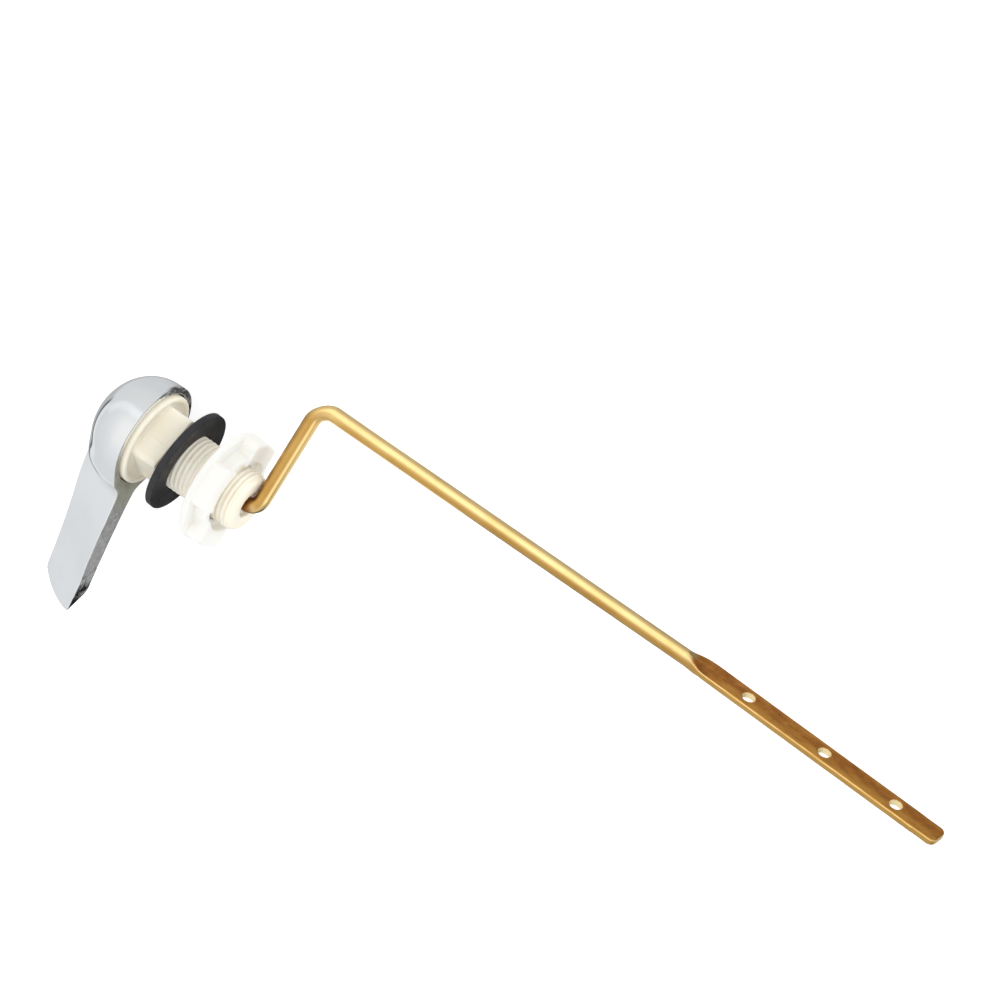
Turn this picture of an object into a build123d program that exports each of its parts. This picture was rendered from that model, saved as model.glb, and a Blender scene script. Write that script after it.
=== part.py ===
from build123d import *
import os
from math import sin, cos, radians

# Cistern lever, side-mounted type. Millimetres.
# X runs out along the blade, Y is the turning axis and points into the cistern, Z is up.
# The origin is on the turning axis, in the face of the flange that seats on the cistern wall.
# The pieces stand at rest: blade level, long arm hanging at its lowest.

# ---- driving dimensions ----
ROD_D = 5.0               # brass rod
CRANK_Y = 39.4            # turning axis station where the crank leaves
CRANK_LEN = 37.5          # offset between the turning axis and the long arm
CRANK_DROP_DEG = 16.5     # crank hangs this far below level at rest
BEND_R = (4.0, 5.5)       # centreline radius of the bend by the bush, and of the one at the arm
ROD_IN_Y = -13.8          # end of the rod inside the handle
RAMP_Y = 179.4            # where the round arm starts to flatten
RAMP_LEN = 7.0
FLAT_LEN = 86.9           # flattened length, without the ramp
FLAT_W = 8.2
FLAT_T = 2.1
FLAT_EDGE_R = 0.7
FLAT_TIP_R = 2.5
FLAT_LEAN_DEG = 76.0      # flat's normal, from up towards the crank side
FLAT_SHIFT = 0.5          # pressed from one side, so it sits off the arm's centre
FLAT_BEND_DEG = 1.9       # and the pressing has bent it a little off the arm's line
HOLE_D = 4.0
HOLE_FROM_TIP = (16.4, 42.8, 71.1)

FLANGE_R = 15.4
FLANGE_T = 4.6
NECK_SIDE = 19.0          # square neck that stops the bush from turning in the wall
NECK_LEN = 8.5
NECK_EDGE_R = 1.8
NECK_TURN_DEG = 39.0      # the bush stands turned on the rod by this much
SHANK_R = 9.65            # over the thread
SHANK_END_Y = 36.6
MOUTH_R = 4.3             # counterbore in the shank's end, which takes the start of the rod's bend
MOUTH_DEPTH = 2.0
BORE_R = ROD_D / 2 + 0.05

WASHER_R = 17.3
WASHER_HOLE_R = 10.0
WASHER_T = 2.5
WASHER_Y = 11.2           # middle of the washer as it hangs loose on the shank
WASHER_TILT = (-2.9, -5.0)  # and how far it has tipped about X and Z, in degrees

NUT_Y = 24.2              # nut's front face as it stands
NUT_LEN = 7.8
NUT_FLANGE_R = 18.9
NUT_FLANGE_T = 2.4
NUT_HUB_R = 14.6
NUT_HUB_LEN = 7.0
NUT_RECESS = 2.2          # depth of the counterbore in the hub's rear end
NUT_LUG_W = 15.0
NUT_LUG_R = 18.5
NUT_TURN_DEG = -18.0
NUT_BORE_R = SHANK_R + 0.10

RIM_Y = -1.6              # dome's rim and the blade's back, in one plane
DOME_Y = -3.0             # end of the dome's straight skirt
DOME_R = 18.0
DOME_WALL = 2.1
BOSS_R = 6.2
BOSS_END_Y = -FLANGE_T - 0.3

# blade section corners as (Y from the rim plane, Z): back top, front top, front bottom, back bottom
BLADE_X = (4.0, 20.0, 34.0, 50.0, 68.0)
BLADE_SECTIONS = (
    ((0.0, 7.6), (-16.6, 2.4), (-16.6, -1.0), (0.0, -8.0)),
    ((0.0, 6.3), (-18.0, 1.2), (-18.0, -1.9), (0.0, -3.7)),
    ((0.0, 6.0), (-16.9, 0.0), (-16.9, -3.0), (0.0, -2.6)),
    ((0.0, 5.1), (-16.2, -1.4), (-16.2, -4.4), (0.0, -2.5)),
    ((0.0, 3.0), (-16.0, -2.9), (-16.0, -5.9), (0.0, -3.4)),
)
BLADE_EDGE_R = 0.5
# tip outline in plan, at the height of its back top corner: back corner, middle, front corner as (X, Y)
TIP_ARC = ((64.2, -1.6), (66.8, -10.0), (64.6, -17.0))
TIP_Z = 3.1
TIP_UNDER_DEG = 50.0      # the end leans under towards the lower face

# turning stop: a lug cast on the boss runs in a slot in the front of the flange
TURN_DEG = 45.0
LUG_R0, LUG_R1 = 7.2, 11.6
LUG_HALF_DEG = 9.0
SLOT_R0, SLOT_R1 = 6.8, 12.0
SLOT_DEPTH = 2.2
SLOT_SPARE_DEG = 3.0


def xz(y):
    """Sketch plane across the turning axis at y, with sketch x and y along X and Z."""
    return Plane(origin=(0, y, 0), x_dir=(1, 0, 0), z_dir=(0, -1, 0))


def drum(r, y0, y1):
    return extrude(xz(y0) * Circle(r), amount=-(y1 - y0))


def about_axis(deg, r):
    """Point at radius r, turned by deg about +Y from straight up."""
    a = radians(deg)
    return (r * sin(a), r * cos(a))


def sector(r0, r1, d0, d1, y0, y1):
    """Ring sector between two radii and two angles."""
    mid = (d0 + d1) / 2
    outline = [
        Line(about_axis(d0, r0), about_axis(d0, r1)),
        ThreePointArc(about_axis(d0, r1), about_axis(mid, r1), about_axis(d1, r1)),
        Line(about_axis(d1, r1), about_axis(d1, r0)),
        ThreePointArc(about_axis(d1, r0), about_axis(mid, r0), about_axis(d0, r0)),
    ]
    return extrude(xz(y0) * make_face(outline), amount=-(y1 - y0))


# ---- bush ----
flange = drum(FLANGE_R, -FLANGE_T, 0)
flange = fillet(flange.edges().filter_by(GeomType.CIRCLE).group_by(Axis.Y)[-1], 0.7)
flange = chamfer(flange.edges().filter_by(GeomType.CIRCLE).group_by(Axis.Y)[0], 0.5)
neck = extrude(xz(0) * Rot(0, 0, NECK_TURN_DEG) * RectangleRounded(NECK_SIDE, NECK_SIDE, NECK_EDGE_R), amount=-NECK_LEN)
shank = drum(SHANK_R, 0, SHANK_END_Y)
shank = chamfer(shank.edges().filter_by(GeomType.CIRCLE).group_by(Axis.Y)[-1], 0.9)
bush = flange + neck + shank
bush -= drum(BORE_R, -FLANGE_T - 1, SHANK_END_Y + 1)
bush -= drum(MOUTH_R, SHANK_END_Y - MOUTH_DEPTH, SHANK_END_Y + 1)
slot_half = LUG_HALF_DEG + SLOT_SPARE_DEG
bush -= sector(SLOT_R0, SLOT_R1, -slot_half, TURN_DEG + slot_half, -FLANGE_T - 1, -FLANGE_T + SLOT_DEPTH)

# ---- washer ----
washer = drum(WASHER_R, -WASHER_T / 2, WASHER_T / 2) - drum(WASHER_HOLE_R, -WASHER_T, WASHER_T)
washer = fillet(washer.edges().filter_by(GeomType.CIRCLE), 0.25)
washer = Pos(0, WASHER_Y, 0) * Rot(0, 0, WASHER_TILT[1]) * Rot(WASHER_TILT[0], 0, 0) * washer

# ---- nut ----
nut_flange = drum(NUT_FLANGE_R, NUT_Y, NUT_Y + NUT_FLANGE_T)
nut_flange = fillet(nut_flange.edges().filter_by(GeomType.CIRCLE), 0.6)
nut_hub = drum(NUT_HUB_R, NUT_Y + 0.5, NUT_Y + NUT_HUB_LEN)
cross = Rectangle(NUT_LUG_W, 3 * NUT_LUG_R) + Rectangle(3 * NUT_LUG_R, NUT_LUG_W)
lugs = extrude(xz(NUT_Y + 0.5) * Rot(0, 0, -NUT_TURN_DEG) * (cross & Circle(NUT_LUG_R)), amount=-(NUT_LEN - 0.5))
lug_ends = lugs.edges().filter_by(Axis.Y).sort_by(lambda e: (e.center().X ** 2 + e.center().Z ** 2))
lugs = fillet(lug_ends[-8:], 1.6)
lugs = fillet(lugs.faces().sort_by(Axis.Y)[-1].outer_wire().edges(), 0.7)
nut = nut_flange + nut_hub + lugs
nut -= drum(NUT_BORE_R, NUT_Y - 1, NUT_Y + NUT_LEN + 1)
nut -= drum(NUT_BORE_R + 2.4, NUT_Y + NUT_HUB_LEN - NUT_RECESS, NUT_Y + NUT_LEN + 1)

# ---- rod ----
drop = radians(CRANK_DROP_DEG)
arm_x = -CRANK_LEN * cos(drop)
arm_z = -CRANK_LEN * sin(drop)
route = FilletPolyline(
    (0, ROD_IN_Y, 0), (0, CRANK_Y, 0), (arm_x, CRANK_Y, arm_z), (arm_x, RAMP_Y, arm_z), radius=list(BEND_R)
)
rod = sweep(xz(ROD_IN_Y) * Circle(ROD_D / 2), path=route)

lean, bend = radians(FLAT_LEAN_DEG), radians(FLAT_BEND_DEG)
face_n = Vector(-sin(lean), 0, cos(lean))
flat_dir = Vector(0, 1, 0) * cos(bend) - face_n * sin(bend)
flat_n = face_n * cos(bend) + Vector(0, 1, 0) * sin(bend)
across = Vector(-cos(lean), 0, -sin(lean))
flat_start = Vector(arm_x, RAMP_Y + RAMP_LEN, arm_z) + face_n * FLAT_SHIFT

section = RectangleRounded(FLAT_W, FLAT_T, FLAT_EDGE_R)
ramp_plane = Plane(origin=(arm_x, RAMP_Y, arm_z), x_dir=across, z_dir=(0, 1, 0))
flat_plane = Plane(origin=flat_start, x_dir=across, z_dir=flat_dir)
ramp = loft([ramp_plane * Circle(ROD_D / 2), flat_plane * section])
flat = extrude(flat_plane * section, amount=FLAT_LEN)
tip_block = Plane(origin=flat_start, x_dir=-across, z_dir=flat_n)
outline = tip_block * Pos(0, 0, -5) * extrude(
    Pos(0, FLAT_LEN / 2 - 20) * RectangleRounded(FLAT_W + 0.02, FLAT_LEN + 40, FLAT_TIP_R), amount=10
)
flat &= outline
for back in HOLE_FROM_TIP:
    flat -= tip_block * Pos(0, FLAT_LEN - back, -5) * extrude(Circle(HOLE_D / 2), amount=10)
    print("hole", [round(v, 3) for v in flat_start + flat_dir * (FLAT_LEN - back)], [round(v, 6) for v in flat_n])
rod = rod + ramp + flat

# ---- handle ----


def cap(wall):
    """Solid of the dome's outside, or of its hollow when a wall is given."""
    r = DOME_R - wall
    front = Pos(0, DOME_Y, 0) * Sphere(r) & Pos(0, DOME_Y - 25, 0) * Box(60, 50, 60)
    return front + drum(r, DOME_Y, RIM_Y)


def blade_face(i):
    across_x = Plane(origin=(BLADE_X[i], RIM_Y, 0), x_dir=(0, 1, 0), z_dir=(1, 0, 0))
    return across_x * make_face(Polyline(*BLADE_SECTIONS[i], close=True))


dome = cap(0)
blade = loft([blade_face(i) for i in range(len(BLADE_X))])
under_a = radians(TIP_UNDER_DEG)
tip_edge = ThreePointArc(*TIP_ARC)
(back_x, back_y), (front_x, front_y) = TIP_ARC[0], TIP_ARC[2]
tip_plan = make_face(tip_edge + Polyline(
    (front_x, front_y), (front_x - 3, -25), (-30, -25), (-30, 5), (back_x, 5), (back_x, back_y)
))
lean_dir = (sin(under_a), 0, cos(under_a))
blade &= Pos(0, 0, TIP_Z) * extrude(tip_plan, amount=20, dir=lean_dir, both=True)


def on_blade(e):
    """True for the blade's outer edges, clear of the dome."""
    p = e.position_at(0.5) - Vector(0, DOME_Y, 0)
    return Vector(p.X, min(p.Y, 0), p.Z).length > DOME_R + 0.4


handle = dome + blade
handle = fillet([e for e in handle.edges() if on_blade(e)], BLADE_EDGE_R)
handle -= cap(DOME_WALL)
boss = drum(BOSS_R, DOME_Y - DOME_R + DOME_WALL - 0.4, BOSS_END_Y)
lug = sector(LUG_R0 - 2.5, LUG_R1, -LUG_HALF_DEG, LUG_HALF_DEG, -10.0, BOSS_END_Y) + sector(
    LUG_R0, LUG_R1, -LUG_HALF_DEG, LUG_HALF_DEG, BOSS_END_Y - 1, -FLANGE_T + SLOT_DEPTH - 0.4
)
handle = handle + boss + lug
handle -= drum(ROD_D / 2, ROD_IN_Y - 0.2, BOSS_END_Y + 1)

# ---- files ----
os.makedirs("parts", exist_ok=True)
for name, shape in (("handle", handle), ("bush", bush), ("washer", washer), ("nut", nut), ("rod", rod)):
    export_step(shape, "parts/" + name + ".step")
    box = shape.bounding_box()
    print(name, "solids", len(shape.solids()), "valid", shape.is_valid, "volume", round(shape.volume, 1),
          "box", [round(v, 2) for v in (*box.min, *box.max)])
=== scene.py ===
import bpy
import numpy as np
from mathutils import Matrix, Vector


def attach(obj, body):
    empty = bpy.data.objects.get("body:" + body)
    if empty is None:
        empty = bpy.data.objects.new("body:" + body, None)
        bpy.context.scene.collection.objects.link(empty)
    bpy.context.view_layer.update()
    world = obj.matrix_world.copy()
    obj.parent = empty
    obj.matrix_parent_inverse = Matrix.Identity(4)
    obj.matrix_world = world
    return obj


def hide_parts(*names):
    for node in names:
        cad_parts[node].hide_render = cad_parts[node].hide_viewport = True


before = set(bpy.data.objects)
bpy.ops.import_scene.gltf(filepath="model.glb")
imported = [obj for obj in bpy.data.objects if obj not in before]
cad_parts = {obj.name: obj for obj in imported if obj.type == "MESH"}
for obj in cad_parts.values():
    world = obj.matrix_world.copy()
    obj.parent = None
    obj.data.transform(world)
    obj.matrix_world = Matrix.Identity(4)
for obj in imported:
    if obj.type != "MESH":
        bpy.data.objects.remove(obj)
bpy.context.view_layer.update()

# Cistern lever. Shapes below are worked out in millimetres, in the part's own frame:
# X out along the blade, Y the turning axis into the cistern, Z up.
MM = 0.001


# ---------------------------------------------------------------- shape tools

def union(a, b, r):
    """Two solids joined with a hollow fillet of radius r."""
    return np.maximum(r, np.minimum(a, b)) - np.hypot(np.maximum(r - a, 0), np.maximum(r - b, 0))


def common(a, b, r):
    """What two solids share, with its new edge rounded to radius r."""
    return np.minimum(-r, np.maximum(a, b)) + np.hypot(np.maximum(r + a, 0), np.maximum(r + b, 0))


def less(a, b, r):
    return common(a, -b, r)


def smooth(x, a, b):
    t = np.clip((x - a) / (b - a), 0.0, 1.0)
    return t * t * (3 - 2 * t)


def curve(xs, ys):
    """Smooth curve through the given points."""
    xs, ys = np.array(xs, float), np.array(ys, float)
    m = np.gradient(ys, xs)

    def at(x):
        x = np.clip(x, xs[0], xs[-1])
        i = np.clip(np.searchsorted(xs, x, side="right") - 1, 0, len(xs) - 2)
        d = xs[i + 1] - xs[i]
        t = (x - xs[i]) / d
        return ((1 + 2 * t) * (1 - t) ** 2 * ys[i] + t * (1 - t) ** 2 * d * m[i]
                + t * t * (3 - 2 * t) * ys[i + 1] + t * t * (t - 1) * d * m[i + 1])
    return at


def gradient(f, p, e=0.02):
    g = np.empty_like(p)
    for i in range(3):
        d = np.zeros(3)
        d[i] = e
        a, b = p + d, p - d
        g[:, i] = (f(a[:, 0], a[:, 1], a[:, 2]) - f(b[:, 0], b[:, 1], b[:, 2])) / (2 * e)
    return g


def skin(f, lo, hi, h, steps=6):
    """Closed quad mesh of the surface f = 0, with f below 0 inside, and its normals."""
    lo = np.array(lo, float)
    n = np.ceil((np.array(hi, float) - lo) / h).astype(int) + 1
    ax = [lo[i] + h * np.arange(n[i]) for i in range(3)]
    val = np.empty(n, np.float64)
    for i in range(0, n[0], 16):
        x, y, z = np.meshgrid(ax[0][i:i + 16], ax[1], ax[2], indexing="ij")
        val[i:i + 16] = f(x, y, z)
    # corners of a grid face that lie inside and outside crosswise would make four quads share an edge
    turns = ((0, 0), (1, 0), (1, 1), (0, 1))
    for _ in range(5):
        for axis in range(3):
            inside = val < 0
            u, w = (axis + 1) % 3, (axis + 2) % 3
            four = []
            for du, dw in turns:
                c = [slice(None)] * 3
                c[u], c[w] = slice(du, n[u] - 1 + du), slice(dw, n[w] - 1 + dw)
                four.append(inside[tuple(c)])
            for at in np.argwhere((four[0] == four[2]) & (four[1] == four[3]) & (four[0] != four[1])):
                ring = []
                for du, dw in turns:
                    c = at.copy()
                    c[u] += du
                    c[w] += dw
                    ring.append(tuple(c))
                least = min(ring, key=lambda c: abs(val[c]))
                val[least] = -val[least] if val[least] else -1e-6
    inside = val < 0
    count = np.zeros(n - 1, np.int8)
    corners = [(i, j, k) for i in (0, 1) for j in (0, 1) for k in (0, 1)]
    for i, j, k in corners:
        count += inside[i:n[0] - 1 + i, j:n[1] - 1 + j, k:n[2] - 1 + k]
    active = (count > 0) & (count < 8)
    cells = np.argwhere(active)
    index = np.full(active.shape, -1, np.int64)
    index[active] = np.arange(len(cells))
    total, hits = np.zeros((len(cells), 3)), np.zeros(len(cells))
    for a in corners:
        for axis in range(3):
            if a[axis]:
                continue
            b = list(a)
            b[axis] = 1
            va = val[cells[:, 0] + a[0], cells[:, 1] + a[1], cells[:, 2] + a[2]]
            vb = val[cells[:, 0] + b[0], cells[:, 1] + b[1], cells[:, 2] + b[2]]
            cross = (va < 0) != (vb < 0)
            point = np.tile(np.array(a, float), (len(cells), 1))
            point[:, axis] += np.where(cross, va / np.where(cross, va - vb, 1.0), 0.0)
            total[cross] += point[cross]
            hits[cross] += 1
    p = lo + h * (cells + total / hits[:, None])
    for _ in range(steps):
        g = gradient(f, p)
        v = f(p[:, 0], p[:, 1], p[:, 2])
        move = v[:, None] * g / np.maximum((g * g).sum(1), 0.05)[:, None]
        size = np.linalg.norm(move, axis=1)
        p = p - move * np.minimum(1.0, 0.4 * h / np.maximum(size, 1e-9))[:, None]
    quads = []
    for axis in range(3):
        u, w = (axis + 1) % 3, (axis + 2) % 3
        a = [slice(1, -1)] * 3
        b = [slice(1, -1)] * 3
        a[axis], b[axis] = slice(0, -1), slice(1, None)
        s0, s1 = inside[tuple(a)], inside[tuple(b)]
        at = np.argwhere(s0 != s1)
        out = s0[tuple(at.T)]
        at = at + 1
        at[:, axis] -= 1
        ring = []
        for du, dw in ((-1, -1), (0, -1), (0, 0), (-1, 0)):
            c = at.copy()
            c[:, u] += du
            c[:, w] += dw
            ring.append(index[tuple(c.T)])
        ring = np.stack(ring, 1)
        ring[~out] = ring[~out][:, ::-1]
        quads.append(ring)
    quads = np.concatenate(quads)
    g = gradient(f, p)
    return p, quads, g / np.maximum(np.linalg.norm(g, axis=1), 1e-9)[:, None]


def lathe(sections, n):
    """Closed mesh from rings about Y. Each ring is (radius, y), numbers or one value per angle.
    The last ring joins the first."""
    t = np.arange(n) * 2 * np.pi / n
    p = np.empty((len(sections), n, 3))
    for i, (r, y) in enumerate(sections):
        p[i, :, 0] = r * np.sin(t)
        p[i, :, 1] = y
        p[i, :, 2] = r * np.cos(t)
    k = np.arange(len(sections) * n).reshape(len(sections), n)
    a, b = k, np.roll(k, -1, 0)
    quads = np.stack([a, np.roll(a, -1, 1), np.roll(b, -1, 1), b], -1).reshape(-1, 4)
    p = p.reshape(-1, 3)
    v = p[quads]
    six = (np.einsum("ij,ij->i", v[:, 0], np.cross(v[:, 1], v[:, 2])) + np.einsum("ij,ij->i", v[:, 0], np.cross(v[:, 2], v[:, 3]))).sum()
    return p, quads[:, ::-1] if six < 0 else quads


def piece(name, points, quads, node, body, material, normals=None, marks=None):
    me = bpy.data.meshes.new(name)
    me.from_pydata((points * MM).tolist(), [], quads.tolist())
    me.polygons.foreach_set("use_smooth", [True] * len(me.polygons))
    for key, values in (marks or {}).items():
        me.attributes.new(key, "FLOAT", "POINT").data.foreach_set("value", np.asarray(values, np.float32))
    me.materials.append(material)
    me.update()
    if normals is not None:
        me.normals_split_custom_set_from_vertices(normals.tolist())
    ob = bpy.data.objects.new(name, me)
    bpy.context.scene.collection.objects.link(ob)
    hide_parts(node)
    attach(ob, body)
    return ob


# ---------------------------------------------------------------- materials

class Finish:
    """A node material: one principled shader, with textures in the piece's own coordinates."""

    def __init__(self, name):
        self.material = bpy.data.materials.new(name)
        self.material.use_nodes = True
        self.tree = self.material.node_tree
        self.tree.nodes.clear()
        self.shader = self.node("ShaderNodeBsdfPrincipled")
        out = self.node("ShaderNodeOutputMaterial")
        self.tree.links.new(self.shader.outputs[0], out.inputs["Surface"])
        self.place = self.node("ShaderNodeTexCoord").outputs["Object"]

    def node(self, kind, **values):
        n = self.tree.nodes.new(kind)
        for k, v in values.items():
            setattr(n, k, v)
        return n

    def put(self, socket, value):
        if isinstance(value, bpy.types.NodeSocket):
            self.tree.links.new(value, socket)
        else:
            socket.default_value = value

    def set(self, **values):
        for k, v in values.items():
            self.put(self.shader.inputs[k.replace("_", " ")], v)
        return self

    def noise(self, scale, detail=3.0, rough=0.5, stretch=None, at=None, distort=0.0):
        vec = at or self.place
        if stretch:
            m = self.node("ShaderNodeMapping")
            self.put(m.inputs["Vector"], vec)
            m.inputs["Scale"].default_value = stretch
            vec = m.outputs[0]
        t = self.node("ShaderNodeTexNoise")
        self.put(t.inputs["Vector"], vec)
        t.inputs["Scale"].default_value = scale
        t.inputs["Detail"].default_value = detail
        t.inputs["Roughness"].default_value = rough
        t.inputs["Distortion"].default_value = distort
        return t.outputs[0]

    def ramp(self, fac, *stops):
        n = self.node("ShaderNodeValToRGB")
        self.put(n.inputs[0], fac)
        e = n.color_ramp.elements
        while len(e) < len(stops):
            e.new(0.5)
        for s, (at, col) in zip(e, stops):
            s.position = at
            s.color = (*col, 1.0) if isinstance(col, tuple) else (col, col, col, 1.0)
        return n.outputs[0]

    def span(self, value, a, b, c, d, soft=False):
        n = self.node("ShaderNodeMapRange", interpolation_type="SMOOTHSTEP" if soft else "LINEAR")
        self.put(n.inputs[0], value)
        for i, v in enumerate((a, b, c, d)):
            self.put(n.inputs[i + 1], v)
        return n.outputs[0]

    def math(self, kind, a, b):
        n = self.node("ShaderNodeMath", operation=kind)
        self.put(n.inputs[0], a)
        self.put(n.inputs[1], b)
        return n.outputs[0]

    def mix(self, fac, a, b, blend="MIX"):
        n = self.node("ShaderNodeMix", data_type="RGBA", blend_type=blend)
        self.put(n.inputs[0], fac)
        for i, v in ((6, a), (7, b)):
            self.put(n.inputs[i], (*v, 1.0) if isinstance(v, tuple) else v)
        return n.outputs[2]

    def mark(self, name):
        return self.node("ShaderNodeAttribute", attribute_name=name).outputs["Fac"]

    def axis(self, i):
        n = self.node("ShaderNodeSeparateXYZ")
        self.put(n.inputs[0], self.place)
        return n.outputs[i]

    def bump(self, height, distance, strength=1.0):
        n = self.node("ShaderNodeBump")
        self.put(n.inputs["Height"], height)
        self.put(n.inputs["Strength"], strength)
        n.inputs["Distance"].default_value = distance
        if self.shader.inputs["Normal"].is_linked:
            self.tree.links.new(self.shader.inputs["Normal"].links[0].from_socket, n.inputs["Normal"])
        self.tree.links.new(n.outputs[0], self.shader.inputs["Normal"])
        return self


def chrome():
    m = Finish("chrome_plate")
    cast = m.mark("cast")
    x = m.axis(0)
    film = m.noise(55, 2.0)
    smudge = m.noise(160, 4.0, 0.6)
    grain = m.noise(900, 5.0, 0.65)
    blotch = m.noise(330, 4.0, 0.6)
    tone = m.ramp(film, (0.35, (0.83, 0.84, 0.845)), (0.65, (0.885, 0.89, 0.89)))
    # the back is left as cast under thin plate: dull by the dome, mottled further out, polished black at the tip.
    # Painted reflection: the dull part's grey stands for the dark below mirrored in it, and its olive by the dome for
    # the cream flange mirrored in it.
    edge = m.math("ADD", x, m.span(blotch, 0.3, 0.7, -0.007, 0.007))
    dull_with_painted_reflection = m.math("MULTIPLY", m.span(x, -0.002, 0.006, 0.0, 1.0, True), m.span(edge, 0.041, 0.060, 1.0, 0.0, True))
    dull_with_painted_reflection = m.math("MULTIPLY", dull_with_painted_reflection, cast)
    grey = m.ramp(grain, (0.30, (0.20, 0.204, 0.200)), (0.5, (0.33, 0.335, 0.328)), (0.74, (0.50, 0.505, 0.495)))
    painted_flange_reflection = m.ramp(blotch, (0.3, (0.31, 0.308, 0.240)), (0.7, (0.44, 0.436, 0.350)))
    grey = m.mix(m.span(x, 0.018, 0.030, 0.0, 1.0, True), painted_flange_reflection, grey)
    base = m.mix(dull_with_painted_reflection, tone, grey)
    # plating worn through to dark metal in spots at one place on the rim
    spots = m.mark("worn")
    base = m.mix(spots, base, m.ramp(m.noise(620, 4.0, 0.65), (0.38, (0.016, 0.016, 0.016)), (0.52, (0.12, 0.122, 0.12)), (0.66, (0.50, 0.505, 0.50))))
    m.set(Base_Color=base, Metallic=m.math("SUBTRACT", m.span(dull_with_painted_reflection, 0, 1, 1.0, 0.2), m.math("MULTIPLY", spots, 0.8)))
    gloss = m.span(smudge, 0.3, 0.75, 0.03, 0.075)
    m.set(Roughness=m.math("ADD", gloss, m.math("MULTIPLY", m.math("MAXIMUM", dull_with_painted_reflection, spots), 0.36)))
    m.bump(m.noise(120, 2.0), 0.00006, 0.22)
    m.bump(grain, 0.00015, m.span(cast, 0, 1, 0.0, 0.35))
    return m.material


def cream():
    m = Finish("cream_moulding")
    cloud = m.noise(90, 3.0)
    speck = m.noise(1500, 3.0)
    m.set(Base_Color=m.ramp(cloud, (0.3, (0.875, 0.815, 0.675)), (0.7, (0.915, 0.868, 0.755))))
    m.set(Roughness=m.span(m.noise(380, 4.0), 0.3, 0.7, 0.30, 0.46))
    m.set(Subsurface_Weight=0.5, Subsurface_Radius=(1.0, 0.80, 0.60), Subsurface_Scale=0.0014, IOR=1.49)
    m.bump(m.noise(260, 3.0), 0.00008, 0.3)
    m.bump(speck, 0.00002, 0.35)
    return m.material


def rubber():
    m = Finish("black_rubber")
    cloud = m.noise(140, 4.0)
    bloom = m.noise(420, 5.0, 0.6)
    m.set(Base_Color=m.ramp(cloud, (0.3, (0.016, 0.016, 0.018)), (0.7, (0.030, 0.030, 0.034))))
    m.set(Roughness=m.span(bloom, 0.3, 0.7, 0.48, 0.70), IOR=1.5, Specular_IOR_Level=0.45)
    m.bump(m.noise(1800, 4.0), 0.00005, 0.35)
    m.bump(bloom, 0.00006, 0.3)
    return m.material


def white():
    m = Finish("white_moulding")
    cloud = m.noise(110, 3.0)
    m.set(Base_Color=m.ramp(cloud, (0.3, (0.905, 0.885, 0.835)), (0.7, (0.93, 0.918, 0.88))))
    m.set(Roughness=m.span(m.noise(420, 4.0), 0.3, 0.7, 0.46, 0.60))
    m.set(Subsurface_Weight=0.75, Subsurface_Radius=(1.0, 0.92, 0.80), Subsurface_Scale=0.0036, IOR=1.5)
    m.bump(m.noise(300, 3.0), 0.00007, 0.3)
    m.bump(m.noise(1700, 3.0), 0.00002, 0.35)
    return m.material


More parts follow.
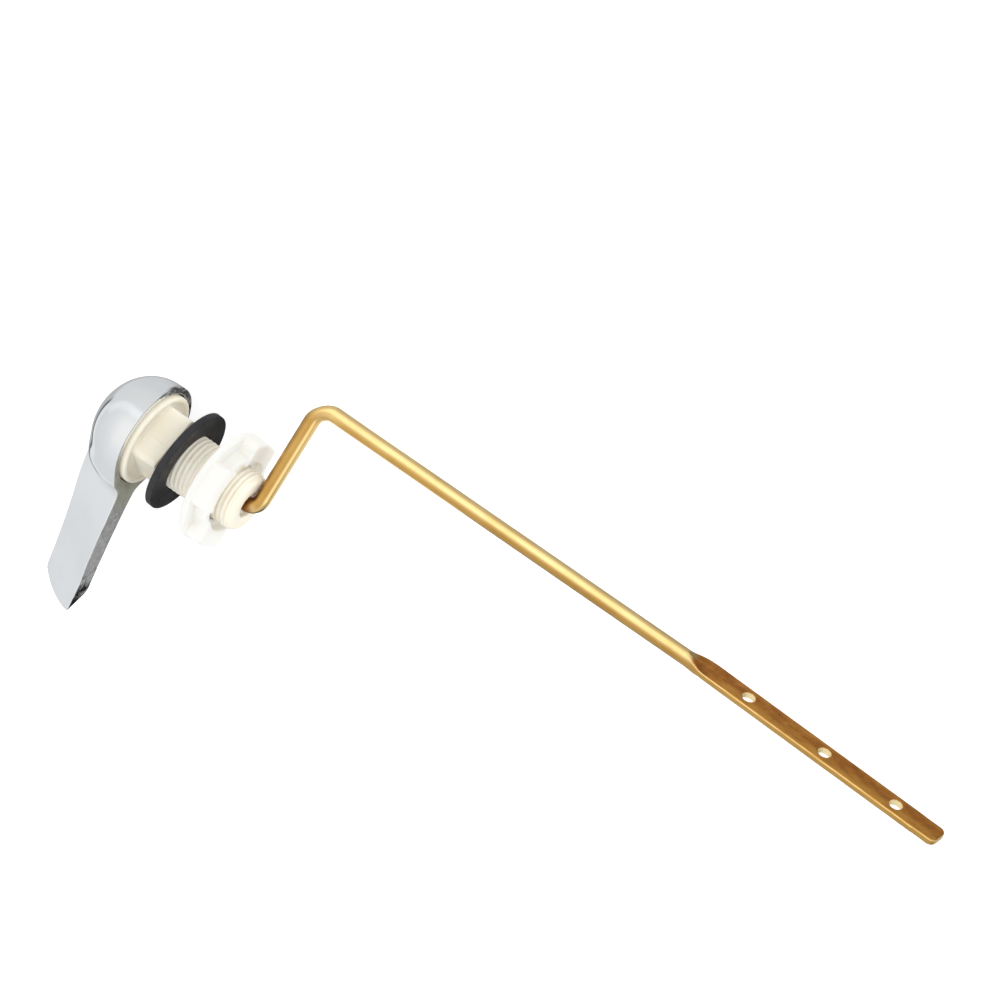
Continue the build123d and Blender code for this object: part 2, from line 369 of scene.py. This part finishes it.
def brass():
    m = Finish("drawn_brass")
    path = m.mark("path")
    flat = m.mark("flat")
    painted_shade = m.mark("painted_shade")
    hole = m.mark("hole")
    # drawn streaks follow the wire round its bends
    flow = m.node("ShaderNodeCombineXYZ")
    m.put(flow.inputs[0], m.math("MULTIPLY", path, 0.00003))
    m.put(flow.inputs[1], m.math("MULTIPLY", m.mark("aside"), 0.001))
    m.put(flow.inputs[2], m.math("MULTIPLY", m.mark("above"), 0.001))
    along = flow.outputs[0]
    streak = m.noise(1400, 3.0, 0.6, at=along)
    fine = m.noise(5200, 2.0, 0.6, at=along)
    stain = m.noise(85, 5.0, 0.6)
    pit = m.noise(700, 4.0, 0.6)
    gold = m.ramp(stain, (0.30, (0.84, 0.585, 0.235)), (0.48, (0.90, 0.655, 0.29)), (0.72, (0.93, 0.70, 0.335)))
    gold = m.mix(m.span(streak, 0.42, 0.72, 0.0, 0.50), gold, (0.76, 0.47, 0.15))
    # painted shade and highlight: the gold is a pale lit copy of the brass and the amber a darker shaded copy, laid on
    # one side of the arm and most of the crank; painted shadow makes it browner by the first bend; the pressed face is
    # red brown all over
    amber = m.ramp(stain, (0.30, (0.55, 0.305, 0.066)), (0.70, (0.68, 0.405, 0.108)))
    gold = m.mix(m.math("MULTIPLY", painted_shade, m.span(streak, 0.3, 0.7, 1.0, 0.78)), gold, amber)
    brown = m.ramp(pit, (0.32, (0.17, 0.060, 0.014)), (0.68, (0.32, 0.13, 0.032)))
    # painted shadow in dark brown
    gold = m.mix(m.mark("painted_shadow"), gold, brown)
    worn = m.mix(m.span(pit, 0.35, 0.7, 0.0, 1.0), (0.60, 0.200, 0.019), (0.41, 0.122, 0.010))
    band = m.noise(300, 3.0, 0.55, at=along)
    worn = m.mix(m.span(band, 0.40, 0.68, 0.0, 0.55), worn, (0.68, 0.28, 0.05))
    # it is blotched along its length, red brown to golden, and rubbed bright towards its edges
    lengthways = m.node("ShaderNodeCombineXYZ")
    m.put(lengthways.inputs[0], m.math("MULTIPLY", path, 0.00030))
    m.put(lengthways.inputs[1], m.math("MULTIPLY", m.mark("aside"), 0.001))
    m.put(lengthways.inputs[2], m.math("MULTIPLY", m.mark("above"), 0.001))
    blot = m.noise(420, 4.0, 0.62, at=lengthways.outputs[0])
    worn = m.mix(m.span(blot, 0.50, 0.66, 0.0, 0.70), worn, (0.30, 0.078, 0.010))
    worn = m.mix(m.span(blot, 0.34, 0.46, 0.60, 0.0), worn, (0.74, 0.36, 0.085))
    worn = m.mix(m.math("MULTIPLY", m.mark("rub"), m.span(blot, 0.35, 0.65, 0.85, 0.35)), worn, (0.80, 0.41, 0.072))
    base = m.mix(m.math("MULTIPLY", flat, 0.94), gold, worn)
    base = m.mix(hole, base, (0.95, 0.80, 0.46))
    m.set(Base_Color=base, Metallic=m.math("SUBTRACT", m.span(flat, 0, 1, 1.0, 0.90), m.math("MULTIPLY", hole, 0.5)))
    m.set(Roughness=m.math("ADD", m.span(streak, 0.25, 0.75, 0.25, 0.37), m.math("MULTIPLY", flat, 0.10)))
    m.bump(fine, 0.00002, 0.35)
    m.bump(stain, 0.00010, 0.15)
    return m.material


# ---------------------------------------------------------------- handle

RIM_Y, DOME_Y, DOME_R, DOME_DEPTH, WALL = -1.6, -4.7, 18.0, 15.8, 2.1
back_top = curve((0, 12, 20, 27, 34, 41, 46, 51.4, 57, 61, 64, 68), (7.4, 6.85, 6.35, 6.15, 6.05, 5.95, 5.6, 4.85, 4.15, 3.65, 3.2, 2.7))
back_low = curve((6, 12, 16, 19.8, 24, 30, 36, 43, 50, 56, 66), (-8.8, -7.6, -5.6, -3.65, -3.0, -2.7, -2.5, -2.45, -2.5, -2.8, -3.3))
front_top = curve((0, 20, 34, 50, 60, 68), (2.6, 1.2, 0.0, -1.4, -2.25, -2.9))
front_low = curve((0, 20, 34, 50, 68), (-0.9, -1.9, -3.0, -4.4, -5.9))
blade_depth = curve((0, 10, 22, 32, 42, 50, 58, 68), (16.9, 17.7, 17.75, 16.9, 16.35, 16.1, 16.05, 15.9))
END_ARC = ((63.95, -1.6), (66.5, -10.0), (64.4, -17.0))
END_Z, END_UNDER = 3.1, np.radians(50.0)


def circle_through(a, b, c):
    (ax, ay), (bx, by), (cx, cy) = a, b, c
    d = 2 * (ax * (by - cy) + bx * (cy - ay) + cx * (ay - by))
    ux = ((ax ** 2 + ay ** 2) * (by - cy) + (bx ** 2 + by ** 2) * (cy - ay) + (cx ** 2 + cy ** 2) * (ay - by)) / d
    uy = ((ax ** 2 + ay ** 2) * (cx - bx) + (bx ** 2 + by ** 2) * (ax - cx) + (cx ** 2 + cy ** 2) * (bx - ax)) / d
    return ux, uy, np.hypot(ax - ux, ay - uy)


END_X0, END_Y0, END_R = circle_through(*END_ARC)
WORN_AT = (-18.0, -1.6)


def cap(x, y, z, r, depth):
    """Distance to the dome's form: half an ellipsoid with a straight skirt."""
    q = np.hypot(x, z)
    k = r / depth
    s = np.minimum(y - DOME_Y, 0.0)
    e = np.sqrt(q * q + (k * s) ** 2)
    slope = np.sqrt(q * q + (k * k * s) ** 2) / np.maximum(e, 1e-6)
    return (e - r) / np.maximum(slope, 0.4)


def handle_form(x, y, z):
    q = np.hypot(x, z)
    deep = blade_depth(x)
    u = np.clip((RIM_Y - y) / deep, -0.15, 1.25)
    bt, ft, bl, fl = back_top(x), front_top(x), back_low(x), front_low(x)
    top = (z - bt - (ft - bt) * u) / np.sqrt(1 + ((ft - bt) / deep) ** 2)
    low = (bl + (fl - bl) * u - z) / np.sqrt(1 + ((fl - bl) / deep) ** 2)
    front = RIM_Y - deep - y
    end = (np.hypot(np.maximum(x - np.tan(END_UNDER) * (z - END_Z) - END_X0, 0), y - END_Y0) - END_R) * np.cos(END_UNDER)
    nose = common(front, end, 1.0)
    blade = common(common(common(top, nose, 0.5), low, 0.9), -x, 0.5)
    # the dome swells a little over the blade and runs into it with a fillet
    swell = 1.4 * smooth(x, 5.0, 14.0) * (1 - smooth(z, 9.5, 15.5)) * smooth(z, -2.0, 3.0)
    body = union(cap(x, y, z, DOME_R, DOME_DEPTH) - swell, blade, 2.6)
    back = y - RIM_Y
    # last stretch of the back is dressed off a little towards the tip
    off = np.radians(7.0)
    dress = ((x - 54.2) * 0.883 + (z - 3.8) * 0.469) * np.sin(off) + (y - RIM_Y) * np.cos(off)
    body = common(body, common(back, dress, 0.15), 0.35)
    body = less(body, cap(x, y, z, DOME_R - WALL, DOME_DEPTH - WALL), 0.35)
    boss = common(q - 6.2, common(y + 4.9, -19.2 - y, 0.4), 0.4)
    side = np.abs(x) * np.cos(np.radians(9)) - np.abs(z) * np.sin(np.radians(9))
    side = np.maximum(side, -z)
    lug = common(common(q - 11.6, side, 0.3), np.maximum(np.maximum(-10 - y, y + 2.8), np.where(y > -4.9, 7.2 - q, 4.7 - q)), 0.25)
    body = union(union(body, boss, 0.9), lug, 0.3)
    return less(body, np.maximum(q - 2.55, -14.0 - y), 0.2)


p, quads, normals = skin(handle_form, (-18.9, -21.3, -18.9), (65.2, -0.8, 18.9), 0.335)
cast = smooth(normals[:, 1], 0.80, 0.97) * (p[:, 1] > RIM_Y - 1.2)
hollow = cap(p[:, 0], p[:, 1], p[:, 2], DOME_R - WALL, DOME_DEPTH - WALL) < 0.15
about = np.degrees(np.arctan2(p[:, 2], -p[:, 0]))
worn = (1 - smooth(np.hypot((about - WORN_AT[0]) / 40.0, (p[:, 1] - WORN_AT[1]) / 2.0), 0.6, 1.0)) * ~hollow * (np.hypot(p[:, 0], p[:, 2]) > 15)
handle = piece("handle_casting", p, quads, "handle", "lever", chrome(), normals, {"cast": np.maximum(cast, hollow), "worn": worn})


# ---------------------------------------------------------------- bush

N = 320
turn = np.arange(N) * 2 * np.pi / N
NECK_TURN = np.radians(39.0)


def square(half, corner):
    """Radius of a square with rounded corners, at each angle."""
    a, b = np.abs(np.sin(turn + NECK_TURN)), np.abs(np.cos(turn + NECK_TURN))
    r = half / np.maximum(a, b)
    m = half - corner
    hit = np.minimum(a, b) * r > m
    dot = m * (a + b)
    arc = dot + np.sqrt(np.maximum(dot * dot - 2 * m * m + corner * corner, 0))
    return np.where(hit, arc, r)


def bush_sections():
    ang = np.degrees((turn + np.pi) % (2 * np.pi) - np.pi)
    in_slot = (ang > -12) & (ang < 57)
    floor = np.where(in_slot, -2.4, -4.6)
    out = [(2.55, 34.0), (2.55, 16.0), (2.55, -4.3), (2.8, -4.6), (6.75, -4.6), (6.8, floor), (9.4, floor), (12.0, floor), (12.05, -4.6)]
    out += [(14.8, -4.6), (15.15, -4.48), (15.32, -4.25), (15.4, -3.9), (15.4, -3.2), (15.4, -2.4), (15.4, -1.7), (15.4, -1.1)]
    for d in (15, 30, 45, 60, 75, 90):
        a = np.radians(d)
        out.append((14.35 + 1.05 * np.cos(a), -1.05 + 1.05 * np.sin(a)))
    # the lip rolls over into a shallow groove round the neck, which has the mould's parting ridge on two sides
    out += [(14.05, -0.03), (13.75, -0.16), (13.5, -0.40), (13.36, -0.58)]
    neck = square(9.5, 1.8)
    off = neck * np.sin(turn + NECK_TURN)
    ridge = 0.13 * np.exp(-((off - 2.4) / 0.26) ** 2) * (np.abs(np.cos(turn + NECK_TURN)) > 0.7)
    neck = neck + ridge
    for d in (0, 25, 45, 65, 90):
        a = np.radians(d)
        out.append((neck + 0.5 * (1 - np.sin(a)), -0.62 + 0.5 * (1 - np.cos(a))))
    for y in (0.8, 2.2, 3.6, 5.0, 6.2, 7.2, 8.0):
        out.append((neck - 0.004 * y, y))
    out += [(neck - 0.10, 8.30), (neck - 0.32, 8.46), (neck - 0.6, 8.5), (np.minimum(neck - 0.65, 9.22), 8.52)]
    # thread: one start, right hand
    pitch, root, depth = 1.65, 9.26, 0.34
    for y in np.arange(8.72, 35.6, 0.15):
        w = np.abs(2 * ((y / pitch - turn / (2 * np.pi)) % 1.0) - 1)
        crest = smooth(w, 0.18, 0.82)
        fade = smooth(y, 8.7, 9.8) * (1 - smooth(y, 34.5, 35.5))
        out.append((root + depth * (crest * fade), y))
    out += [(9.12, 35.72), (8.95, 35.92), (8.5, 36.35), (8.28, 36.52), (7.95, 36.6), (6.0, 36.6), (4.75, 36.6), (4.5, 36.52), (4.36, 36.35)]
    out += [(4.3, 36.1), (4.3, 35.4), (4.3, 34.8), (4.22, 34.64), (4.05, 34.6), (3.3, 34.6), (2.8, 34.54), (2.6, 34.36)]
    return out


p, quads = lathe(bush_sections(), N)
bush = piece("bush_moulding", p, quads, "bush", "bush", cream())


# ---------------------------------------------------------------- washer

def washer_sections():
    out = []
    for r, y, flat in ((10.0, -1.25, (1, -1)), (17.3, -1.25, (-1, -1)), (17.3, 1.25, (-1, 1)), (10.0, 1.25, (1, 1))):
        c = 0.34
        d0 = {(1, -1): 180, (-1, -1): 270, (-1, 1): 0, (1, 1): 90}[flat]
        for d in (0, 22.5, 45, 67.5, 90):
            a = np.radians(d0 + d)
            out.append((r + flat[0] * c + c * np.cos(a), y - flat[1] * c + c * np.sin(a)))
        if flat == (1, -1):
            out += [(11.5, -1.25), (13.6, -1.25), (15.6, -1.25)]
        if flat == (-1, -1):
            out += [(17.3, -0.3), (17.3, 0.3)]
        if flat == (-1, 1):
            out += [(15.6, 1.25), (13.6, 1.25), (11.5, 1.25)]
        if flat == (1, 1):
            out += [(10.0, 0.3), (10.0, -0.3)]
    return out


p, quads = lathe(washer_sections(), 224)
wave = 0.05 * np.sin(2 * np.arctan2(p[:, 0], p[:, 2]) + 0.7) * smooth(np.hypot(p[:, 0], p[:, 2]), 10, 17)
p[:, 1] = p[:, 1] * 0.955 + wave
tip_x, tip_z = np.radians(-2.9), np.radians(-5.0)
about_x = np.array([[1, 0, 0], [0, np.cos(tip_x), -np.sin(tip_x)], [0, np.sin(tip_x), np.cos(tip_x)]])
about_z = np.array([[np.cos(tip_z), -np.sin(tip_z), 0], [np.sin(tip_z), np.cos(tip_z), 0], [0, 0, 1]])
p = p @ (about_z @ about_x).T + np.array([0, 11.2, 0])
washer = piece("washer_rubber", p, quads, "washer", "bush", rubber())


# ---------------------------------------------------------------- nut

NUT_Y, NUT_TURN = 24.2, np.radians(18.0)


def nut_form(x, y, z):
    q = np.hypot(x, z)
    v = y - NUT_Y
    a = x * np.cos(NUT_TURN) + z * np.sin(NUT_TURN)
    b = -x * np.sin(NUT_TURN) + z * np.cos(NUT_TURN)
    flange = common(q - 18.85, np.abs(v - 1.2) - 1.2, 0.75)
    hub = common(q - 14.5, np.abs(v - 3.5) - 3.5, 0.55)
    bars = np.minimum(np.abs(a) - 7.4, np.abs(b) - 7.4)
    lugs = common(common(bars, q - 18.4, 1.5), np.abs(v - 4.15) - 3.65, 0.7)
    body = union(union(hub, flange, 0.5), lugs, 0.45)
    w = np.abs(2 * ((y / 1.65 - np.arctan2(x, z) / (2 * np.pi)) % 1.0) - 1)
    bore = q - 9.8 - 0.22 * smooth(w, 0.2, 0.8)
    body = less(body, bore, 0.25)
    return np.maximum(less(body, common(q - 12.15, 4.8 - v, 0.4), 0.5), -v)


p, quads, normals = skin(nut_form, (-19.5, NUT_Y - 0.6, -19.5), (19.5, NUT_Y + 8.5, 19.5), 0.29)
nut = piece("nut_moulding", p, quads, "nut", "nut", white(), normals)


# ---------------------------------------------------------------- rod

DROP = np.radians(16.5)
C_DIR = np.array([-np.cos(DROP), 0.0, -np.sin(DROP)])
Y_DIR = np.array([0.0, 1.0, 0.0])
W_DIR = np.cross(C_DIR, Y_DIR)
IN_Y, CRANK_Y, CRANK, BEND, ROD_R = -13.8, 39.4, 37.5, (4.0, 5.5), 2.5
RAMP_Y, RAMP_LEN, FLAT_LEN, FLAT_W, FLAT_T = 179.4, 7.0, 86.9, 8.2, 2.1
LEAN, BENT = np.radians(76.0), np.radians(1.9)
FACE = np.array([-np.sin(LEAN), 0.0, np.cos(LEAN)])
FLAT_DIR = Y_DIR * np.cos(BENT) - FACE * np.sin(BENT)
FLAT_N = FACE * np.cos(BENT) + Y_DIR * np.sin(BENT)
ACROSS = np.array([-np.cos(LEAN), 0.0, -np.sin(LEAN)])
FLAT_0 = CRANK * C_DIR + Y_DIR * (RAMP_Y + RAMP_LEN) + FACE * 0.5
HOLES = tuple(FLAT_LEN - d for d in (16.4, 42.8, 71.1))


def to_rod(v):
    """A world direction in the rod's own axes: along the crank, along Y, and across both."""
    return np.array([v @ C_DIR, v @ Y_DIR, v @ W_DIR])


F0, FD, FN, FA = (to_rod(v) for v in (FLAT_0, FLAT_DIR, FLAT_N, ACROSS))


def rod_line(s, y):
    """Distance in the rod's plane to its centre line, length along it, and the offset to one side of it."""
    b0, b1 = BEND
    best = np.hypot(s, y - np.clip(y, IN_Y, CRANK_Y - b0))
    path = np.clip(y, IN_Y, CRANK_Y - b0) - IN_Y
    off = -s + 0 * y
    l0 = CRANK_Y - b0 - IN_Y

    def take(d, length, aside, best, path, off):
        use = d < best
        return np.where(use, d, best), np.where(use, length, path), np.where(use, aside, off)

    ds, dy = s - b0, y - (CRANK_Y - b0)
    d = np.where((ds <= 0) & (dy >= 0), np.abs(np.hypot(ds, dy) - b0), 1e3)
    best, path, off = take(d, l0 + b0 * np.arctan2(dy, -ds), np.hypot(ds, dy) - b0, best, path, off)
    l0 = l0 + b0 * np.pi / 2
    sc = np.clip(s, b0, CRANK - b1)
    best, path, off = take(np.hypot(s - sc, y - CRANK_Y), l0 + sc - b0, y - CRANK_Y, best, path, off)
    l1 = l0 + CRANK - b0 - b1
    ds, dy = s - (CRANK - b1), y - (CRANK_Y + b1)
    d = np.where((ds >= 0) & (dy <= 0), np.abs(np.hypot(ds, dy) - b1), 1e3)
    best, path, off = take(d, l1 + b1 * np.arctan2(ds, -dy), b1 - np.hypot(ds, dy), best, path, off)
    yc = np.clip(y, CRANK_Y + b1, RAMP_Y + RAMP_LEN)
    best, path, off = take(np.hypot(s - CRANK, y - yc), l1 + b1 * np.pi / 2 + y - CRANK_Y - b1, CRANK - s, best, path, off)
    return best, path, off


def rod_form(s, y, w):
    line, _, _ = rod_line(s, y)
    round_ = np.hypot(line, w) - ROD_R
    # the second bend is flattened on its outer side by the bending
    ds, dy = s - (CRANK - BEND[1]), BEND[1] + CRANK_Y - y
    mid = np.where((ds > 0) & (dy > 0), np.sin(2 * np.arctan2(np.maximum(ds, 0), np.maximum(dy, 1e-9))), 0.0)
    round_ = round_ + 0.6 * mid ** 2 * np.clip((np.hypot(ds, dy) - BEND[1]) / ROD_R, 0, 1.2) ** 2
    round_ = common(round_, np.maximum(IN_Y - y, y - (RAMP_Y + RAMP_LEN + 1.0)), 0.3)
    ds, dy, dw = s - F0[0], y - F0[1], w - F0[2]
    l = ds * FD[0] + dy * FD[1] + dw * FD[2]
    n = ds * FN[0] + dy * FN[1] + dw * FN[2]
    a = ds * FA[0] + dy * FA[1] + dw * FA[2]
    # pressed part: the wire widens while two slanting faces close in on it
    t = smooth(l, -RAMP_LEN - 0.5, 1.5)
    half = 2.5 + (FLAT_W / 2 - 2.5) * t
    mid = -(0.5 + RAMP_LEN * np.sin(BENT)) * (1 - np.clip((l + RAMP_LEN) / RAMP_LEN, 0, 1))
    bulge = 2.5 - 0.35 * t
    wide = (np.sqrt((a / half) ** 2 + ((n - mid) / bulge) ** 2) - 1) * np.minimum(half, bulge)
    wide = np.where(l > 0, np.maximum(wide, np.abs(a) - half), wide)
    box = np.abs(a) - half
    press = np.clip(-l / RAMP_LEN, 0, 1)
    slab = np.maximum(n - FLAT_T / 2 - 0.72 * press, -n - FLAT_T / 2 - 2.18 * press)
    side = wide * (1 - t) + box * t
    flat = common(side, slab, 0.55)
    ca, cl = np.abs(a) - (FLAT_W / 2 - 2.5), l - (FLAT_LEN - 2.5)
    nose = np.hypot(np.maximum(ca, 0), np.maximum(cl, 0)) + np.minimum(np.maximum(ca, cl), 0) - 2.5
    flat = common(flat, np.where(l > FLAT_LEN - 8, nose, -3.0), 0.5)
    flat = np.maximum(flat, -(l + RAMP_LEN))
    body = np.minimum(np.where(l > 1.0, 1e2, np.where(l > -RAMP_LEN, np.maximum(round_, slab), round_)), flat)
    for h in HOLES:
        body = less(body, np.hypot(a, l - h) - 2.0, 0.22)
    return body


p, quads, normals = skin(rod_form, (-3.31, -14.57, -4.65), (41.9, 274.3, 4.65), 0.3)
_, path, aside = rod_line(p[:, 0], p[:, 1])
d = p - F0
along = d @ FD
facing = np.abs(normals @ FN)
flat = smooth(facing, 0.62, 0.90) * smooth(along, -6.0, -3.0)
over = d @ FA / (FLAT_W / 2)
rub = np.maximum(smooth(over, 0.45, 0.95) * 0.5, smooth(-over, -0.35, 0.75)) * flat * smooth(along, 0.0, 12.0)
spin = np.stack([C_DIR, Y_DIR, W_DIR])
hole = np.zeros(len(p))
for h in HOLES:
    hole = np.maximum(hole, smooth(2.35 - np.hypot(d @ FA, along - h), 0.0, 0.3) * (1 - smooth(facing, 0.3, 0.8)))
side = normals @ spin
lower = side @ np.array([0.913, 0.0, 0.407])
# painted shade: the side of the arm and of the crank that gets the darker amber
arm_painted_shade = smooth(lower, 0.0, 0.5) * smooth(p[:, 1], 44, 52)
crank_painted_shade = smooth(-side[:, 1], -0.75, -0.42) * smooth(p[:, 0], -1.0, 2.0) * (1 - smooth(p[:, 0], 31, 38)) * (p[:, 1] < 46)
painted_shade = np.maximum(arm_painted_shade, crank_painted_shade)
# painted shadow: brown on the wire's side towards the bush end by the first bend, along the painted shade, and where it
# comes out of the bush mouth
painted_shadow = smooth(-side[:, 1], 0.10, 0.65) * smooth(p[:, 0], -2.6, -0.5) * (1 - smooth(p[:, 0], 4, 15)) * (p[:, 1] < 46)
painted_shadow = np.maximum(painted_shadow, (0.20 + 0.14 * smooth(-side[:, 1], 0.2, 0.7)) * crank_painted_shade)
painted_shadow = np.maximum(painted_shadow, 0.24 * arm_painted_shade * smooth(p[:, 1], 70, 130))
painted_shadow = np.maximum(painted_shadow, 0.95 * (1 - smooth(p[:, 1] + 0.5 * p[:, 0], 36.4, 39.6)) * smooth(p[:, 1], 20, 30) * (p[:, 0] < 12))
rod = piece("rod_brass", p @ spin, quads, "rod", "lever", brass(), side, {"path": path, "aside": aside, "above": p[:, 2], "flat": flat, "painted_shade": painted_shade, "painted_shadow": painted_shadow, "rub": rub, "hole": hole})


# ---------------------------------------------------------------- stage

def floor():
    m = Finish("pale_floor")
    m.set(Base_Color=m.ramp(m.noise(6, 2.0), (0.3, (0.93, 0.93, 0.93)), (0.7, (0.945, 0.945, 0.945))), Roughness=0.9, Specular_IOR_Level=0.1,
          Emission_Color=(1.0, 1.0, 1.0, 1.0), Emission_Strength=0.45)
    z, r = -0.025, 3.0
    me = bpy.data.meshes.new("floor")
    me.from_pydata([(-r, -r, z), (r, -r, z), (r, r, z), (-r, r, z)], [], [(0, 1, 2, 3)])
    me.materials.append(m.material)
    ob = bpy.data.objects.new("floor", me)
    bpy.context.scene.collection.objects.link(ob)
    ob.visible_glossy = False


floor()

world = bpy.data.worlds.new("studio")
bpy.context.scene.world = world
world.use_nodes = True
wt = world.node_tree
wt.nodes.clear()


def sky_node(kind, *links, **values):
    n = wt.nodes.new(kind)
    for k, v in values.items():
        setattr(n, k, v)
    for i, v in links:
        if isinstance(v, bpy.types.NodeSocket):
            wt.links.new(v, n.inputs[i])
        else:
            n.inputs[i].default_value = v
    return n


def sky_ramp(fac, stops):
    n = sky_node("ShaderNodeValToRGB", (0, fac))
    e = n.color_ramp.elements
    while len(e) < len(stops):
        e.new(0.5)
    for s, (deg, col) in zip(e, stops):
        s.position = (np.sin(np.radians(deg)) + 1) / 2
        s.color = (*col, 1.0)
    return n.outputs[0]


# a bright slanting panel above, edged by a thin dark line, in a grey room that is dark straight below
sky_dir = sky_node("ShaderNodeTexCoord").outputs["Generated"]
parts = sky_node("ShaderNodeSeparateXYZ", (0, sky_dir)).outputs
height = sky_node("ShaderNodeMapRange", (0, parts[2]), (1, -1.0)).outputs[0]
lean = sky_node("ShaderNodeVectorMath", (0, sky_dir), (1, (0.428, -0.333, 0.84)), operation="DOT_PRODUCT").outputs["Value"]
in_panel = sky_node("ShaderNodeMapRange", (0, lean), (1, 0.05), (2, 0.33), interpolation_type="SMOOTHSTEP").outputs[0]
ahead = sky_node("ShaderNodeMapRange", (0, parts[1]), (1, -0.22), (2, -0.32), interpolation_type="SMOOTHSTEP").outputs[0]
ROOM = ((-8, (0.77, 0.785, 0.79)), (10, (0.79, 0.80, 0.80)), (45, (0.84, 0.85, 0.85)), (90, (0.86, 0.86, 0.86)))
dark = sky_ramp(height, ((-90, (0.015, 0.014, 0.013)), (-46, (0.03, 0.029, 0.028)), (-34, (0.16, 0.157, 0.155)), (-20, (0.42, 0.425, 0.43))) + ROOM)
pale = sky_ramp(height, ((-90, (0.45, 0.455, 0.46)), (-60, (0.66, 0.67, 0.68)), (-45, (0.70, 0.72, 0.735)), (-25, (0.72, 0.745, 0.765))) + ROOM)
room = sky_node("ShaderNodeMix", (0, ahead), (6, dark), (7, pale), data_type="RGBA").outputs[2]
panel = sky_ramp(height, ((-30, (0.72, 0.735, 0.75)), (0, (0.76, 0.775, 0.79)), (25, (0.805, 0.83, 0.85)), (40, (0.86, 0.875, 0.89)),
                          (55, (0.94, 0.95, 0.955)), (72, (1.0, 1.0, 1.0)), (90, (1.05, 1.05, 1.05))))
both = sky_node("ShaderNodeMix", (0, in_panel), (6, room), (7, panel), data_type="RGBA").outputs[2]


def sky_line(stops):
    n = sky_node("ShaderNodeValToRGB", (0, lean))
    e = n.color_ramp.elements
    while len(e) < len(stops):
        e.new(0.5)
    for s, (at, level) in zip(e, stops):
        s.position = at
        s.color = (level, level, level, 1.0)
    return n.outputs[0]


toward = sky_node("ShaderNodeMapRange", (0, parts[0]), (1, -0.06), (2, 0.12), interpolation_type="SMOOTHSTEP").outputs[0]
rim = sky_line(((0.20, 0.86), (0.30, 1.0), (0.40, 1.0), (0.55, 0.86)))
line = sky_line(((0.0, 0.62), (0.004, 0.20), (0.10, 0.20), (0.135, 0.98), (0.26, 0.98), (0.34, 0.86)))
edge = sky_node("ShaderNodeMix", (0, toward), (6, rim), (7, line), data_type="RGBA").outputs[2]
both = sky_node("ShaderNodeMix", (0, 1.0), (6, both), (7, edge), data_type="RGBA", blend_type="MULTIPLY").outputs[2]
sky = sky_node("ShaderNodeBackground", (0, both), (1, 1.163)).outputs[0]
sky_node("ShaderNodeOutputWorld", (0, sky))


def lamp(name, at, aim, size, power, glossy, only=None):
    data = bpy.data.lights.new(name, "AREA")
    data.shape = "DISK"
    data.size = size
    data.energy = power
    ob = bpy.data.objects.new(name, data)
    ob.location = at
    ob.rotation_euler = (Vector(aim) - Vector(at)).to_track_quat("-Z", "Y").to_euler()
    ob.visible_glossy = glossy
    ob.visible_camera = False
    bpy.context.scene.collection.objects.link(ob)
    if only:
        group = bpy.data.collections.new(name + "_lit")
        for piece_lit in only:
            group.objects.link(piece_lit)
        ob.light_linking.receiver_collection = group


lamp("key", (0.45, -0.35, 1.5), (0.0, 0.1, 0.0), 1.8, 5.0, False)
lamp("fill", (-0.75, 1.25, 0.75), (0.0, 0.02, 0.0), 1.2, 8.0, False, [bush, handle])
lamp("fill_nut", (-0.75, 1.25, 0.75), (0.0, 0.02, 0.0), 1.2, 1.3, False, [nut])
# two broad panels that draw the long highlight on the wire, and two small cards low down for its far edges
lamp("wire_side", (-0.864, -0.25, 0.752), (-0.036, 0.146, -0.01), 1.5, 3.3, True, [rod])
lamp("wire_end", (0.0, 1.30, 0.52), (-0.018, 0.04, -0.005), 0.9, 1.5, True, [rod])
lamp("card_crank", (-0.010, 0.058, -0.0246), (-0.010, 0.058, 1.0), 0.06, 0.008, True, [rod])
lamp("card_tip", (-0.020, 0.292, -0.0246), (-0.020, 0.292, 1.0), 0.05, 0.0035, True, [rod])

eye = bpy.data.cameras.new("camera")
eye.sensor_width = 36.0
eye.lens = 6270.0 / 1000.0 * 36.0
eye.clip_end = 50.0
camera = bpy.data.objects.new("camera", eye)
right, up, back_ = (-0.40506, 0.7766, -0.48252), (-0.8297, -0.53393, -0.16283), (-0.38408, 0.3344, 0.86062)
where = (-0.76013, 0.72846, 1.59458)
camera.matrix_world = Matrix([[right[i], up[i], back_[i], where[i]] for i in range(3)] + [[0, 0, 0, 1]])
bpy.context.scene.collection.objects.link(camera)
bpy.context.scene.camera = camera

view = bpy.context.scene.view_settings
view.view_transform = "Standard"
view.look = "None"
view.exposure = 0.0
view.gamma = 1.0
